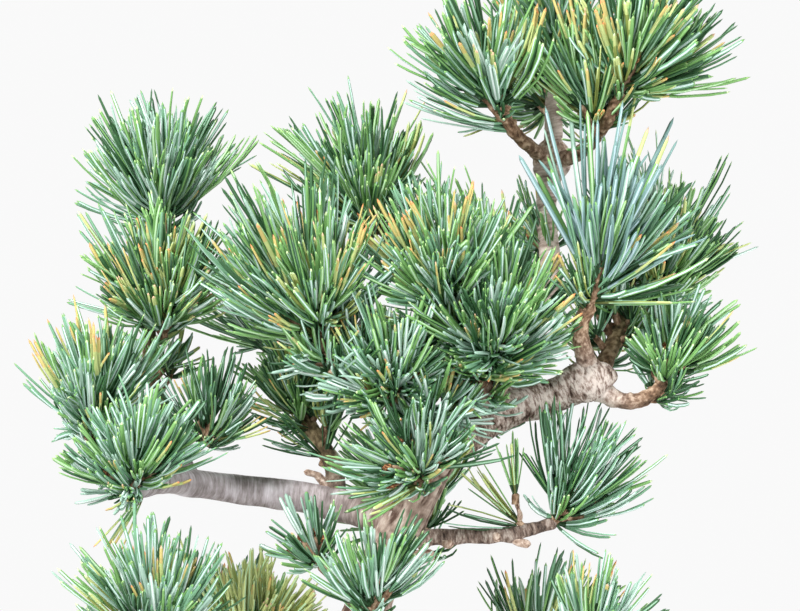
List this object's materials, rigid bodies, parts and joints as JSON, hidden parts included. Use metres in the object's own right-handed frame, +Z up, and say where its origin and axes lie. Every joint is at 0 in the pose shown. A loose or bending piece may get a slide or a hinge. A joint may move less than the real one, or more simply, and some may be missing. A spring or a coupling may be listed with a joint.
{
  "type": "pine bonsai",
  "caption": "Small pine grown as a bonsai: a leaning trunk with root flare, tapering boughs and tufted needle masses, in a plain rectangular clay pot.",
  "frame": {"origin": "middle of the pot's flat underside, which the plant stands on", "axes": "+X to the plant's right, seen from its front; +Y from its front to its back; +Z up"},
  "size_m": [0.2367, 0.1734, 0.395],
  "materials": {
    "bark": "rough fibrous bark, grey-beige with brown ridges",
    "needles": "blue-green needles with paler blue-white faces and yellow to orange tips",
    "clay": "unglazed brown clay, matt",
    "earth": "gritty soil"
  },
  "bodies": {
    "root": {"centre_back_bough": "bark", "centre_left_bough": "bark", "centre_right_bough": "bark", "front_bough": "bark", "knot_back_bough": "bark", "knot_right_bough": "bark", "knot_upright_bough": "bark", "leader": "bark", "leader_left_bough": "bark", "leader_right_bough": "bark", "left_back_bough": "bark", "left_bough": "bark", "left_edge_bough": "bark", "low_back_bough": "bark", "low_front_bough": "bark", "low_left_back_bough": "bark", "low_left_bough": "bark", "low_left_small_bough": "bark", "low_right_back_bough": "bark", "low_right_bough": "bark", "lower_right_bough": "bark", "main_limb": "bark", "mass_back_centre": "needles", "mass_back_left": "needles", "mass_back_low": "needles", "mass_back_low_left": "needles", "mass_back_low_right": "needles", "mass_back_right": "needles", "mass_back_top": "needles", "mass_centre_left": "needles", "mass_centre_right": "needles", "mass_centre_right_high": "needles", "mass_centre_small": "needles", "mass_crown_centre_high": "needles", "mass_crown_left": "needles", "mass_crown_left_high": "needles", "mass_front_centre": "needles", "mass_leader_side": "needles", "mass_left_back": "needles", "mass_left_edge": "needles", "mass_left_front": "needles", "mass_left_middle": "needles", "mass_low_front": "needles", "mass_low_left_front": "needles", "mass_low_left_middle": "needles", "mass_low_left_small": "needles", "mass_low_right": "needles", "mass_lower_right": "needles", "mass_right": "needles", "mass_right_back": "needles", "mass_right_front": "needles", "mass_top": "needles", "mass_top_front": "needles", "mass_top_left": "needles", "mass_top_right": "needles", "pot": "clay", "soil": "earth", "trunk": "bark", "upper_left_bough": "bark"}
  },
  "joints": []
}
